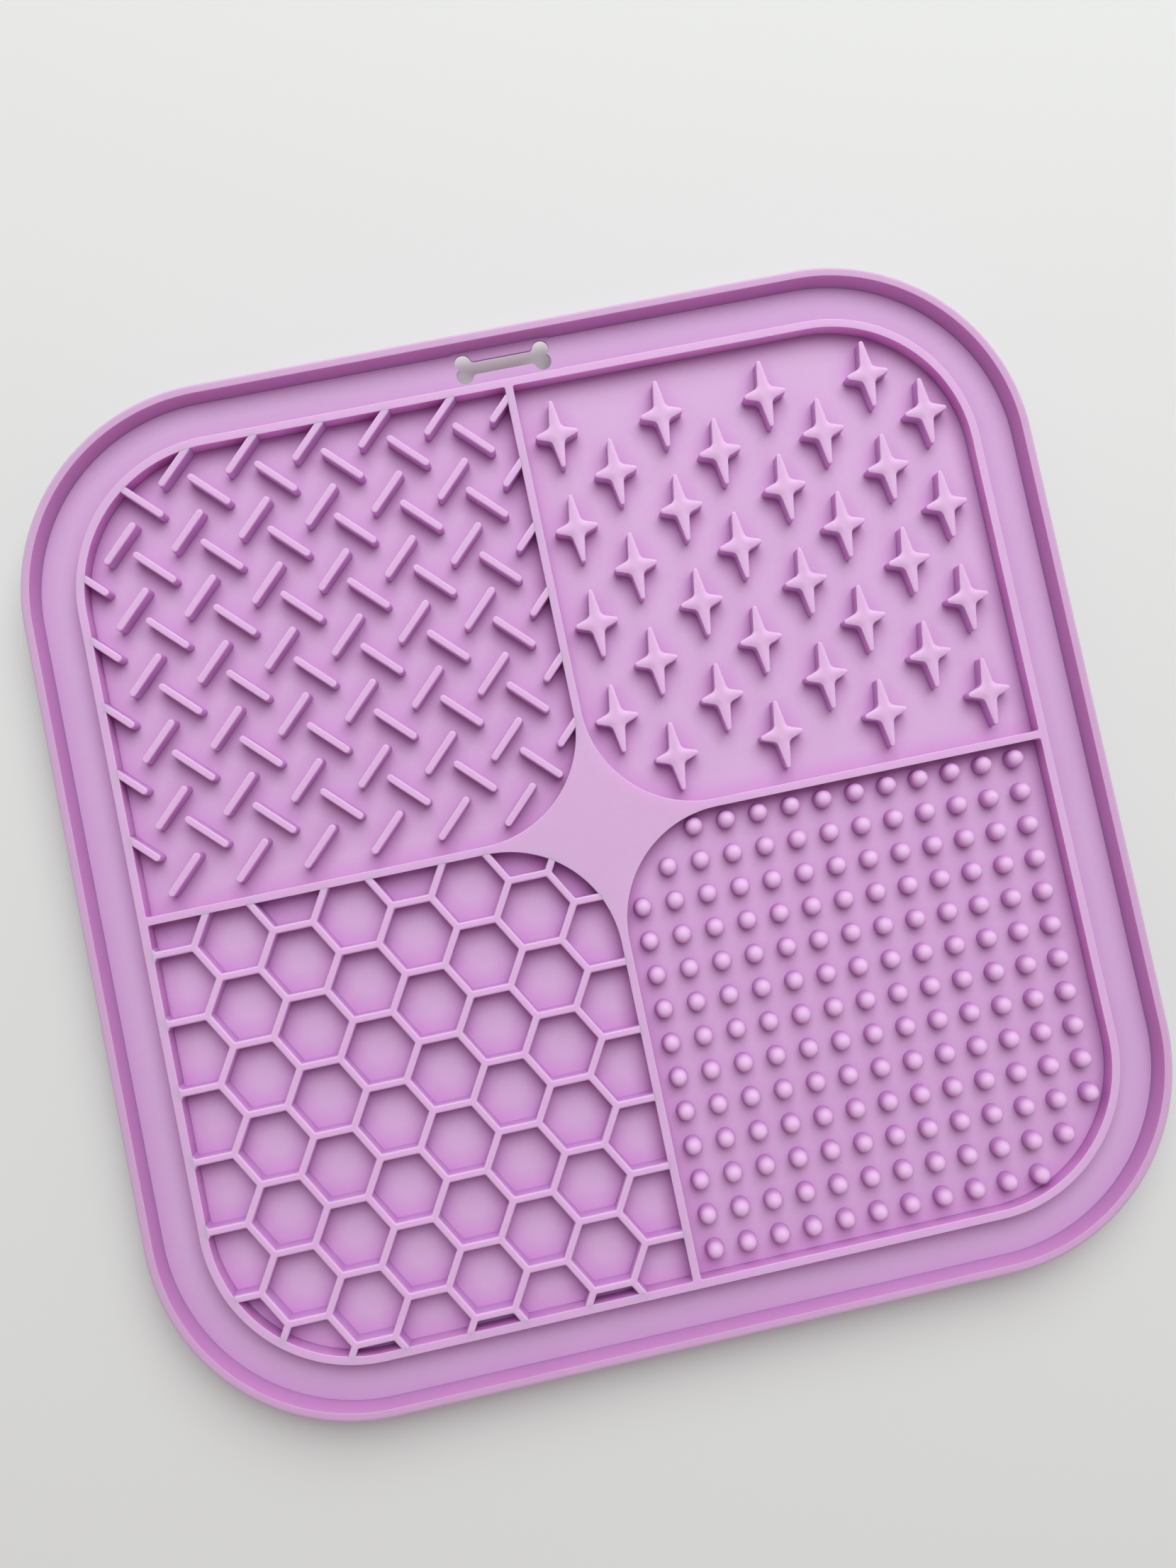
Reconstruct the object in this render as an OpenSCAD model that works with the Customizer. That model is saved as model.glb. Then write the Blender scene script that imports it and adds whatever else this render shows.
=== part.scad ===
// Square lick mat moulded in one piece of silicone.
// A thin sheet carries a rim, a channel and four patterned fields, and suction cups hang below it.
// The origin is on the table plane below the centre, and +Y points to the hanging hole.

/* [Mat] */
// Length of each side of the mat
mat_side = 200; // [180:1:220]
// Radius of the mat's corners, seen from above
corner_r = 40; // [34:1:48]
// Thickness of the sheet that carries everything
sheet_t = 1; // [0.8:0.1:1.6]
// Height of the rim, the walls and the ribs above the sheet
pattern_h = 3.4; // [2.6:0.1:5]

/* [Rim] */
// Width of the rim at its foot
rim_foot_w = 2.75; // [2.4:0.05:3.6]
// Distance from the mat's edge to the inner edge of the rim's flat top
rim_land_w = 1.85; // [1.4:0.05:2.3]
// Rounding of the rim's outer top edge
rim_edge_r = 0.8; // [0.4:0.05:1.2]

/* [Channel and walls] */
// Width of the open channel between the rim's foot and the inner wall
channel_w = 7.85; // [7:0.05:12]
// Thickness of the wall round the four fields
wall_t = 1.6; // [1.2:0.1:2.4]
// Thickness of the dividers between the fields
divider_t = 1.56; // [1.2:0.02:2.4]
// Distance from the middle of the mat to the tip of each arm of the centre star
star_reach = 22.55; // [16:0.05:28]

/* [Hanging hole] */
// Radius of each of the four lobes of the bone-shaped hole
bone_lobe_r = 1.65; // [1.3:0.05:1.8]
// Distance from the middle of the hole to the lobe centres, along the channel
bone_lobe_x = 7.85; // [6:0.05:12]
// Distance from the middle of the hole to the lobe centres, across the channel
bone_lobe_y = 1.34; // [1:0.02:1.5]
// Width of the bone's straight middle
bone_waist_w = 2.6; // [2:0.1:3]
// Radius of the fillets where the straight middle meets the lobes
bone_fillet_r = 0.9; // [0.5:0.05:1.1]
// Distance from the hole to the foot of the rim
bone_rim_gap = 0.2; // [0.1:0.05:0.6]
// How much wider the hole is on each side below its thin lip
bone_relief = 0.28; // [0.1:0.02:0.35]
// Thickness of the lip round the hole
bone_lip_t = 0.5; // [0.3:0.05:0.7]
// Depth of the shallow recess in the rim beside the hole, at the rim's foot
rim_recess_d = 0.28; // [0.1:0.02:0.4]
// Depth of that recess at the rim's flat top
rim_recess_top_d = 0.06; // [0.02:0.01:0.1]
// How far the recess runs past each end of the hole
rim_recess_side = 0.3; // [0:0.05:2]
// How far the piece of sheet round the hole runs past each end of the hole
tab_side = 2.5; // [1.5:0.1:6]

/* [Diagonal ribs] */
// Length of a short diagonal rib
dash_l = 9.8; // [7:0.1:11]
// Width of a short diagonal rib
dash_w = 1.45; // [1:0.05:2]
// Distance between ribs that lean the same way, along X
dash_pitch_x = 12.986; // [12:0.001:15]
// Distance between ribs that lean the same way, along Y
dash_pitch_y = 12.945; // [12:0.001:15]
// Distance from the middle of the mat to the first column of rising ribs
rising_x = 1.377; // [0:0.001:2.5]
// Distance from the middle of the mat to the first row of rising ribs
rising_y = 7.289; // [6.5:0.001:8]
// Distance from the middle of the mat to the first column of falling ribs
falling_x = 8.758; // [8:0.001:9.5]
// Distance from the middle of the mat to the first row of falling ribs
falling_y = 14.443; // [13.5:0.001:15]

/* [Star nubs] */
// Length of a star nub, along Y
nub_l = 13.4; // [11:0.1:14]
// Width of a star nub, along X
nub_w = 8.4; // [7:0.1:9]
// Distance from the middle of a nub to its inner corners, along X
nub_waist_x = 1.26; // [1:0.02:1.6]
// Distance from the middle of a nub to its inner corners, along Y
nub_waist_y = 1.38; // [1:0.02:1.6]
// Radius of the round ends of the long arms
nub_long_tip_r = 0.45; // [0.3:0.05:0.6]
// Radius of the round ends of the short arms
nub_short_tip_r = 0.5; // [0.3:0.05:0.6]
// Radius of the fillets between the arms
nub_fillet_r = 1.2; // [0.6:0.05:1.6]
// Distance between the columns of one group of nubs
nub_pitch_x = 20.95; // [20:0.05:24]
// Distance between the rows of one group of nubs
nub_pitch_y = 19; // [18:0.05:22]
// Distance from the middle of the mat to the first column of the first group
nub_first_x = 7.34; // [6.5:0.02:8]
// Distance from the middle of the mat to the first row of the first group
nub_first_y = 19.81; // [19:0.02:21]
// Distance from the middle of the mat to the first column of the second group
nub_second_x = 17.15; // [16.5:0.02:18]
// Distance from the middle of the mat to the first row of the second group
nub_second_y = 10.29; // [9.8:0.02:11]
// Least distance from a nub to the walls of its field
nub_room = 0.2; // [0.1:0.05:0.5]

/* [Honeycomb] */
// Distance between the middles of neighbouring cells
cell_pitch = 13.146; // [11:0.001:16]
// Width of the ribs between the cells
cell_rib_w = 1.45; // [1:0.05:2.2]
// Distance from the middle of the mat to the middle of the reference cell, along X
cell_x = 38.47; // [36:0.01:41]
// Distance from the middle of the mat to the middle of the reference cell, along Y
cell_y = 39.42; // [37:0.01:42]
// How far outside its field the middle of a rib may lie
cell_overhang = 1.8; // [1:0.1:3]

/* [Domes] */
// Diameter of a dome
dome_d = 3.5; // [3:0.1:4.5]
// Height of a dome above the sheet
dome_h = 3.3; // [2.6:0.1:4.5]
// Distance between the domes of a row
dome_pitch_x = 6.483; // [6:0.001:8]
// Distance between the rows of domes
dome_pitch_y = 6.656; // [6:0.001:8]
// Distance from the middle of the mat to the first dome of each row
dome_x = 4.73; // [4:0.01:5.5]
// Distance from the middle of the mat to the first row of domes
dome_y = 3.64; // [3.5:0.01:4.5]
// Least distance from a dome to the walls of its field
dome_room = 0.35; // [0.1:0.05:0.5]

/* [Suction cups] */
// Diameter of a suction cup at its lip
cup_d = 15; // [12:0.5:18]
// Height of a suction cup below the sheet
cup_h = 4; // [3:0.1:6]
// Diameter of the neck that joins a cup to the sheet
cup_neck_d = 6.4; // [5:0.1:8]
// Height of the neck between a cup's dome and the sheet
cup_neck_h = 0.8; // [0.4:0.1:1.2]
// Height of the upright edge of a cup's lip
cup_lip_h = 0.4; // [0.3:0.05:0.6]
// Width of the flat ring on which a cup stands
cup_lip_w = 0.4; // [0.3:0.05:0.8]
// Depth of the hollow in a cup
cup_hollow_h = 1.7; // [1:0.1:2]
// Distance between the middles of neighbouring cups
cup_pitch = 21.5; // [20:0.1:26]
// Least distance from a cup to the edge of the mat
cup_border = 15; // [12:0.5:20]

/* [Hidden] */
$fn = 72;
arc_steps = 6;
silicone = [0.86, 0.71, 0.86];
overrun = cup_lip_h;

sheet_bottom = cup_h;
sheet_top = sheet_bottom + sheet_t;

edge_half = mat_side / 2;
rim_foot = edge_half - rim_foot_w;
wall_outer = rim_foot - channel_w;
field_half = wall_outer - wall_t;
corner_c = edge_half - corner_r;
divider_half = divider_t / 2;
star_flank_r = star_reach - divider_half;

bone_y = rim_foot - bone_rim_gap - bone_lobe_r - bone_lobe_y;
bone_half = bone_lobe_x + bone_lobe_r;
tab_half = bone_half + tab_side;

dash_reach = (dash_l - dash_w) / 2 * cos(45) + dash_w / 2;
rising_cols = floor((field_half + dash_reach - rising_x) / dash_pitch_x) + 1;
rising_rows = floor((field_half + dash_reach - rising_y) / dash_pitch_y) + 1;
falling_cols = floor((field_half + dash_reach - falling_x) / dash_pitch_x) + 1;
falling_rows = floor((field_half + dash_reach - falling_y) / dash_pitch_y) + 1;

nub_reach_x = nub_w / 2 + nub_room;
nub_reach_y = nub_l / 2 + nub_room;
nub_first_cols = floor((field_half - nub_reach_x - nub_first_x) / nub_pitch_x) + 1;
nub_first_rows = floor((field_half - nub_reach_y - nub_first_y) / nub_pitch_y) + 1;
nub_second_cols = floor((field_half - nub_reach_x - nub_second_x) / nub_pitch_x) + 1;
nub_second_rows = floor((field_half - nub_reach_y - nub_second_y) / nub_pitch_y) + 1;

cell_side = cell_pitch / sqrt(3);
cell_step_x = cell_pitch * cos(30);
cell_cols_out = ceil((field_half - cell_x) / cell_step_x);
cell_cols_in = ceil(cell_x / cell_step_x);
cell_rows_out = ceil((field_half - cell_y) / cell_pitch) + 1;
cell_rows_in = ceil(cell_y / cell_pitch);

dome_reach = dome_d / 2 + dome_room;
dome_cols = floor((field_half - dome_reach - dome_x) / dome_pitch_x) + 1;
dome_rows = floor((field_half - dome_reach - dome_y) / dome_pitch_y) + 1;

cups_each_way = floor((edge_half - cup_border - cup_d / 2) / cup_pitch);

// Turns a plane vector anticlockwise
function turn(v, angle) = [v[0] * cos(angle) - v[1] * sin(angle), v[0] * sin(angle) + v[1] * cos(angle)];

// Point where the line from p touches the circle at c, on its left side for 1 and its right side for -1
function touch(p, c, r, side) =
    let (d = norm(c - p))
    p + sqrt(d * d - r * r) * turn((c - p) / d, -side * asin(r / d));

// Angle of a plane vector from the X axis, from 0 to 360
function bearing(v) = (atan2(v[1], v[0]) + 360) % 360;

// Points along an arc, both its ends among them
function arc_points(c, r, from, to) =
    [for (i = [0 : arc_steps]) let (a = from + (to - from) * i / arc_steps) c + r * [cos(a), sin(a)]];

// Whether a point of the +X +Y field keeps the given room to the walls and the centre star
function in_field(x, y, room) =
    min(x, y) - divider_half >= room && field_half - max(x, y) >= room
    && (min(x, y) < corner_c || norm([x - corner_c, y - corner_c]) <= field_half - corner_c - room)
    && (max(x, y) > star_reach || norm([x - star_reach, y - star_reach]) <= star_flank_r - room);

// Whether a star nub at this place keeps its room
function nub_fits(x, y) =
    in_field(x + nub_w / 2, y, nub_room) && in_field(x - nub_w / 2, y, nub_room)
    && in_field(x, y + nub_l / 2, nub_room) && in_field(x, y - nub_l / 2, nub_room);

// Square with round corners, centred, with its corner centres where all the mat's contours have them
module contour(half) {
    square([2 * half, 2 * corner_c], center = true);
    square([2 * corner_c, 2 * half], center = true);
    for (sx = [-1, 1], sy = [-1, 1])
        translate([sx * corner_c, sy * corner_c]) circle(half - corner_c);
}

// Outline of one field, in the quarter that the signs give
module field_outline(sx, sy) {
    mirror([sx < 0 ? 1 : 0, 0]) mirror([0, sy < 0 ? 1 : 0])
        difference() {
            translate([divider_half, divider_half]) square(field_half - divider_half);
            difference() {
                translate([corner_c, corner_c]) square(field_half);
                translate([corner_c, corner_c]) circle(field_half - corner_c);
            }
            difference() {
                square(star_reach);
                translate([star_reach, star_reach]) circle(star_flank_r);
            }
        }
}

// Raises an outline from the sheet's upper face to the height of the pattern
module raised() {
    color(silicone) translate([0, 0, sheet_top]) linear_extrude(pattern_h) children();
}

// Bone-shaped outline, wider all round by the given amount
module bone_outline(grow) {
    lobe_r = bone_lobe_r + grow;
    waist = bone_waist_w / 2 + grow;
    fillet_r = bone_fillet_r - grow;
    fillet_y = waist + fillet_r;
    fillet_x = bone_lobe_x - sqrt((lobe_r + fillet_r) ^ 2 - (fillet_y - bone_lobe_y) ^ 2);
    square([2 * bone_lobe_x, 2 * waist], center = true);
    for (sx = [-1, 1], sy = [-1, 1]) {
        translate([sx * bone_lobe_x, sy * bone_lobe_y]) circle(lobe_r);
        difference() {
            polygon([[sx * fillet_x, 0], [sx * bone_lobe_x, 0],
                [sx * bone_lobe_x, sy * bone_lobe_y], [sx * fillet_x, sy * fillet_y]]);
            translate([sx * fillet_x, sy * fillet_y]) circle(fillet_r);
        }
    }
}

// Floor under the four fields
module field_sheet() {
    color(silicone) translate([0, 0, sheet_bottom]) linear_extrude(sheet_t) contour(wall_outer);
}

// Outline of the sheet's border, from the wall's outer face to the mat's edge
module border_outline() {
    difference() {
        contour(edge_half);
        contour(wall_outer);
    }
}

// Outline of the stretch of border that holds the hanging hole
module tab_outline() {
    translate([-tab_half, wall_outer]) square([2 * tab_half, edge_half - wall_outer]);
}

// Floor of the channel and the rim, without the stretch that holds the hanging hole
module channel_sheet() {
    color(silicone) translate([0, 0, sheet_bottom]) linear_extrude(sheet_t)
        difference() {
            border_outline();
            tab_outline();
        }
}

// Stretch of sheet with the bone-shaped hole, which has a thin lip at its upper face
module hanging_tab() {
    color(silicone) translate([0, 0, sheet_bottom]) {
        linear_extrude(sheet_t - bone_lip_t)
            difference() {
                tab_outline();
                translate([0, bone_y]) bone_outline(bone_relief);
            }
        translate([0, 0, sheet_t - bone_lip_t]) linear_extrude(bone_lip_t)
            difference() {
                tab_outline();
                translate([0, bone_y]) bone_outline(0);
            }
    }
}

// Section of the rim, with the mat's edge on the Y axis and its inner side towards +X
module rim_section() {
    polygon([[0, 0], [rim_foot_w, 0], [rim_land_w, pattern_h], [rim_edge_r, pattern_h],
        [0, pattern_h - rim_edge_r]]);
    translate([rim_edge_r, pattern_h - rim_edge_r]) circle(rim_edge_r);
}

// Side of the raised rim in the direction of the angle, with the round corner at its anticlockwise end
module rim_side(angle) {
    color(silicone) translate([0, 0, sheet_top]) rotate(angle) {
        translate([edge_half, corner_c, 0]) rotate([90, 0, 0])
            linear_extrude(2 * corner_c) mirror([1, 0]) rim_section();
        translate([corner_c, corner_c, 0]) rotate_extrude(angle = 90)
            translate([corner_r, 0]) mirror([1, 0]) rim_section();
    }
}

// Side of the rim that has a shallow recess beside the hanging hole
module rim_north() {
    recess_half = bone_half + rim_recess_side;
    color(silicone) difference() {
        rim_side(90);
        translate([-recess_half, rim_foot, sheet_top]) rotate([90, 0, 90]) linear_extrude(2 * recess_half)
            polygon([[-overrun, -overrun], [rim_recess_d, -overrun], [rim_recess_d, 0],
                [rim_recess_top_d + rim_foot_w - rim_land_w, pattern_h],
                [rim_recess_top_d + rim_foot_w - rim_land_w, pattern_h + overrun],
                [-overrun, pattern_h + overrun]]);
    }
}

// Wall round the four fields
module inner_wall() {
    raised() difference() {
        contour(wall_outer);
        contour(field_half);
    }
}

// Four-armed plateau in the middle of the mat
module centre_star() {
    raised() difference() {
        square(2 * star_reach, center = true);
        for (sx = [-1, 1], sy = [-1, 1])
            translate([sx * star_reach, sy * star_reach]) circle(star_flank_r);
    }
}

// Straight wall from an arm of the star to the inner wall, in the direction of the angle
module divider(angle) {
    raised() rotate(angle) translate([star_reach, -divider_half]) square([field_half - star_reach, divider_t]);
}

// Short rib with round ends
module dash_outline() {
    bar_l = dash_l - dash_w;
    square([bar_l, dash_w], center = true);
    for (sx = [-1, 1])
        translate([sx * bar_l / 2, 0]) circle(dash_w / 2);
}

// Row of short diagonal ribs in the -X +Y field, cut where they run into the walls
module dash_row(first_x, y, cols, angle) {
    raised() intersection() {
        field_outline(-1, 1);
        for (i = [0 : cols - 1])
            translate([-first_x - i * dash_pitch_x, y]) rotate(angle) dash_outline();
    }
}

// Four-pointed star with tapering arms, round tips and filleted inner corners
module nub_outline() {
    long_tip = [0, nub_l / 2 - nub_long_tip_r];
    short_tip = [nub_w / 2 - nub_short_tip_r, 0];
    waist = [nub_waist_x, nub_waist_y];
    long_end = touch(waist, long_tip, nub_long_tip_r, 1);
    short_end = touch(waist, short_tip, nub_short_tip_r, -1);
    up = (long_end - waist) / norm(long_end - waist);
    out = (short_end - waist) / norm(short_end - waist);
    half_angle = acos(up * out) / 2;
    fillet_run = nub_fillet_r / tan(half_angle);
    fillet_c = waist + (up + out) / norm(up + out) * nub_fillet_r / sin(half_angle);
    quarter = concat(
        arc_points(short_tip, nub_short_tip_r, 0, bearing(short_end - short_tip)),
        arc_points(fillet_c, nub_fillet_r, bearing(waist + out * fillet_run - fillet_c),
            bearing(waist + up * fillet_run - fillet_c)),
        arc_points(long_tip, nub_long_tip_r, bearing(long_end - long_tip), 90)
    );
    last = len(quarter) - 1;
    polygon(concat(
        quarter,
        [for (i = [last - 1 : -1 : 0]) [-quarter[i][0], quarter[i][1]]],
        [for (i = [1 : last]) -quarter[i]],
        [for (i = [last - 1 : -1 : 1]) [quarter[i][0], -quarter[i][1]]]
    ));
}

// Column of star nubs in the +X +Y field
module nub_column(x, first_y, rows) {
    raised() for (i = [0 : rows - 1]) {
        y = first_y + i * nub_pitch_y;
        if (nub_fits(x, y)) translate([x, y]) nub_outline();
    }
}

// Rib between two cells, pointed at both ends so that three ribs meet without a gap
module cell_rib_outline() {
    shoulder = cell_side / 2 - cell_rib_w / 2 / tan(60);
    half_w = cell_rib_w / 2;
    polygon([[-cell_side / 2, 0], [-shoulder, -half_w], [shoulder, -half_w],
        [cell_side / 2, 0], [shoulder, half_w], [-shoulder, half_w]]);
}

// All ribs of one direction in the -X -Y field: each cell has one at the heading from its middle
module honeycomb(heading) {
    raised() intersection() {
        field_outline(-1, -1);
        for (i = [-cell_cols_out : cell_cols_in], j = [-cell_rows_out : cell_rows_in]) {
            cell = [i * cell_step_x - cell_x, (j + (i % 2 == 0 ? 0 : 0.5)) * cell_pitch - cell_y];
            middle = cell + turn([cell_pitch / 2, 0], heading);
            if (in_field(-middle[0], -middle[1], -cell_overhang))
                translate(middle) rotate(heading + 90) cell_rib_outline();
        }
    }
}

// Upright round nub with a domed top
module dome() {
    rotate_extrude() intersection() {
        square([dome_d / 2, dome_h]);
        union() {
            square([dome_d, dome_h - dome_d / 2]);
            translate([0, dome_h - dome_d / 2]) circle(dome_d / 2);
        }
    }
}

// Row of domes in the +X -Y field
module dome_row(row) {
    y = dome_y + row * dome_pitch_y;
    color(silicone) translate([0, 0, sheet_top])
        for (i = [0 : dome_cols - 1]) {
            x = dome_x + i * dome_pitch_x;
            if (in_field(x, y, dome_reach)) translate([x, -y, 0]) dome();
        }
}

// Suction cup with a domed back, a thin lip and a short neck, standing on the origin
module suction_cup() {
    dome_top = cup_h - cup_neck_h;
    lip_r = cup_d / 2;
    back_rise = dome_top - cup_lip_h;
    back_r = (lip_r ^ 2 + back_rise ^ 2) / (2 * back_rise);
    hollow_mouth_r = lip_r - cup_lip_w;
    hollow_r = (hollow_mouth_r ^ 2 + cup_hollow_h ^ 2) / (2 * cup_hollow_h);
    rotate_extrude() difference() {
        union() {
            square([lip_r, cup_lip_h]);
            intersection() {
                translate([0, dome_top - back_r]) circle(back_r);
                square([lip_r, dome_top]);
            }
            square([cup_neck_d / 2, cup_h]);
        }
        translate([0, cup_hollow_h - hollow_r]) circle(hollow_r);
    }
}

// Row of suction cups under the sheet
module cup_row(row) {
    color(silicone)
        for (i = [-cups_each_way : cups_each_way])
            translate([i * cup_pitch, row * cup_pitch, 0]) suction_cup();
}

field_sheet();
channel_sheet();
hanging_tab();
rim_side(0);  // rim_east
rim_north();
rim_side(180);  // rim_west
rim_side(-90);  // rim_south
inner_wall();
centre_star();
divider(90);  // divider_north
divider(0);  // divider_east
divider(-90);  // divider_south
divider(180);  // divider_west
for (i = [0 : rising_rows - 1])
    dash_row(rising_x, rising_y + i * dash_pitch_y, rising_cols, 45);
for (i = [0 : falling_rows - 1])
    dash_row(falling_x, falling_y + i * dash_pitch_y, falling_cols, -45);
for (i = [0 : nub_first_cols - 1])
    nub_column(nub_first_x + i * nub_pitch_x, nub_first_y, nub_first_rows);
for (i = [0 : nub_second_cols - 1])
    nub_column(nub_second_x + i * nub_pitch_x, nub_second_y, nub_second_rows);
honeycomb(90);  // honeycomb_level
honeycomb(150);  // honeycomb_rising
honeycomb(30);  // honeycomb_falling
for (i = [0 : dome_rows - 1])
    dome_row(i);
for (i = [-cups_each_way : cups_each_way])
    cup_row(i);
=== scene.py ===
import bpy
import math
import numpy as np
from mathutils import Matrix, Vector
from mathutils.geometry import delaunay_2d_cdt


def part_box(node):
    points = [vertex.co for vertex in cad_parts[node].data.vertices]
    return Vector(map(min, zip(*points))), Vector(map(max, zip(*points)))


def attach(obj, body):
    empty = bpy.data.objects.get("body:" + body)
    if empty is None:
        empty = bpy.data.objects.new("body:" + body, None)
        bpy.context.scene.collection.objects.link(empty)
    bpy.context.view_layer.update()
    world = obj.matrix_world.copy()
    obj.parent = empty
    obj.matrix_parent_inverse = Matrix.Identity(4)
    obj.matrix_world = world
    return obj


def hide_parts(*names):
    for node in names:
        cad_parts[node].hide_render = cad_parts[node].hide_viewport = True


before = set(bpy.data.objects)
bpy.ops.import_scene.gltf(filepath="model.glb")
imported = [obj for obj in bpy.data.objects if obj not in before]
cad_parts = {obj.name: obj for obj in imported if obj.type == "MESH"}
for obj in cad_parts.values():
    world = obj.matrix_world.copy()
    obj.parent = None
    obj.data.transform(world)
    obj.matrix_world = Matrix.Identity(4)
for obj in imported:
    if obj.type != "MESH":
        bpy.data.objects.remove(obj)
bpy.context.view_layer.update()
mm = 0.001


def cadLow(node, axis):                     # lowest place of a CAD node along an axis, in millimetres
    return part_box(node)[0][axis] / mm


def cadHigh(node, axis):
    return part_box(node)[1][axis] / mm


# sizes that the pieces share, in millimetres
mat = {
    "half": cadHigh("rim_east", 0),
    "cornerRadius": 40, "cornerSteps": 32,
    "sheetBottom": cadLow("field_sheet", 2),
    "sheetTop": cadHigh("field_sheet", 2),
    "footDepth": 0.05,                      # raised features start this deep in the sheet
    "top": cadHigh("inner_wall", 2),
    "wallOuter": cadHigh("inner_wall", 0),
    "fieldHalf": cadHigh("divider_north", 1),
    "dividerHalf": cadHigh("divider_north", 0),
    "starReach": cadHigh("centre_star", 0),
}
mat["cornerCentre"] = mat["half"] - mat["cornerRadius"]
mat["rise"] = mat["top"] - mat["sheetTop"]
mat["foot"] = mat["sheetTop"] - mat["footDepth"]


# camera, at the photograph's viewing angle
cameraView = {
    "place": (-11.57, -0.88, 226.15),       # millimetres from the middle of the rim's top plane
    "right": (0.9782, -0.2061, 0.0379),
    "back": (-0.0473, -0.0414, 0.9977),
    "lens": 27.03, "sensor": 36,            # millimetres
    "clipStart": 0.01,                      # metres
}


def setCamera():
    data = bpy.data.cameras.new("photoCamera")
    data.lens = cameraView["lens"]
    data.sensor_width = cameraView["sensor"]
    data.clip_start = cameraView["clipStart"]
    camera = bpy.data.objects.new("photoCamera", data)
    bpy.context.scene.collection.objects.link(camera)
    back = Vector(cameraView["back"]).normalized()
    right = Vector(cameraView["right"])
    right = (right - back * right.dot(back)).normalized()
    up = back.cross(right)
    turn = Matrix((right, up, back)).transposed().to_4x4()
    x, y, z = cameraView["place"]
    camera.matrix_world = Matrix.Translation(Vector((x, y, z + mat["top"])) * mm) @ turn
    bpy.context.scene.camera = camera


setCamera()
print("camera set")


# node helpers
def linkNodes(tree, *pairs):
    for (a, out), (b, into) in pairs:
        tree.links.new(a.outputs[out], b.inputs[into])


def mixColor(nodes, second, blend="MIX"):
    mix = nodes.new("ShaderNodeMix")
    mix.data_type = "RGBA"
    mix.blend_type = blend
    mix.inputs["B"].default_value = (*second, 1)
    return mix


def ramp(nodes, start, end, low=0, high=1, smooth=False):   # from low at start to high at end
    node = nodes.new("ShaderNodeMapRange")
    if smooth:
        node.interpolation_type = "SMOOTHSTEP"
    for socket, value in zip(("From Min", "From Max", "To Min", "To Max"), (start, end, low, high)):
        node.inputs[socket].default_value = value
    return node


def calculate(nodes, operation, second=None):
    node = nodes.new("ShaderNodeMath")
    node.operation = operation
    if second is not None:
        node.inputs[1].default_value = second
    return node


# soft window light from the far side, a pale room and a pale table; lengths in metres
studio = {
    "keyAzimuth": 70, "keyElevation": 51, "keyDistance": 1.25, "keySize": 1.4,
    "keyPower": 15.9, "keyColor": (0.89, 0.98, 1.0),
    "roomColor": (1.0, 0.87, 0.92), "roomSides": 0.72, "roomTop": 0.12,     # the room is darker overhead
    "backdrop": (0.86, 0.86, 0.85),
    "tableColor": (0.85, 0.84, 0.80), "tableRoughness": 0.85, "tableGloss": 0.2, "tableReach": 6,
    "fadeStart": 0.4, "fadeEnd": 1.5,       # distances at which the table turns into the backdrop
}


def setWindowLight():
    data = bpy.data.lights.new("windowLight", "AREA")
    data.shape = "DISK"
    data.size = studio["keySize"]
    data.energy = studio["keyPower"]
    data.color = studio["keyColor"]
    lamp = bpy.data.objects.new("windowLight", data)
    bpy.context.scene.collection.objects.link(lamp)
    a, e = math.radians(studio["keyAzimuth"]), math.radians(studio["keyElevation"])
    away = Vector((math.cos(e) * math.cos(a), math.cos(e) * math.sin(a), math.sin(e)))
    lamp.location = away * studio["keyDistance"]
    lamp.rotation_euler = away.to_track_quat("Z", "Y").to_euler()


def setRoom():
    world = bpy.data.worlds.new("paleRoom")
    world.use_nodes = True
    nodes = world.node_tree.nodes
    way = nodes.new("ShaderNodeTexCoord")
    split = nodes.new("ShaderNodeSeparateXYZ")
    room = ramp(nodes, 0, 1, studio["roomSides"], studio["roomTop"])
    tinted = nodes.new("ShaderNodeVectorMath")
    tinted.operation = "SCALE"
    tinted.inputs[0].default_value = studio["roomColor"]
    path = nodes.new("ShaderNodeLightPath")
    seen = mixColor(nodes, studio["backdrop"])      # a camera ray sees a plain pale backdrop
    linkNodes(world.node_tree,
              ((way, "Generated"), (split, "Vector")), ((split, "Z"), (room, "Value")),
              ((room, "Result"), (tinted, "Scale")), ((tinted, "Vector"), (seen, "A")),
              ((path, "Is Camera Ray"), (seen, "Factor")),
              ((seen, "Result"), (nodes["Background"], "Color")))
    bpy.context.scene.world = world


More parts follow.
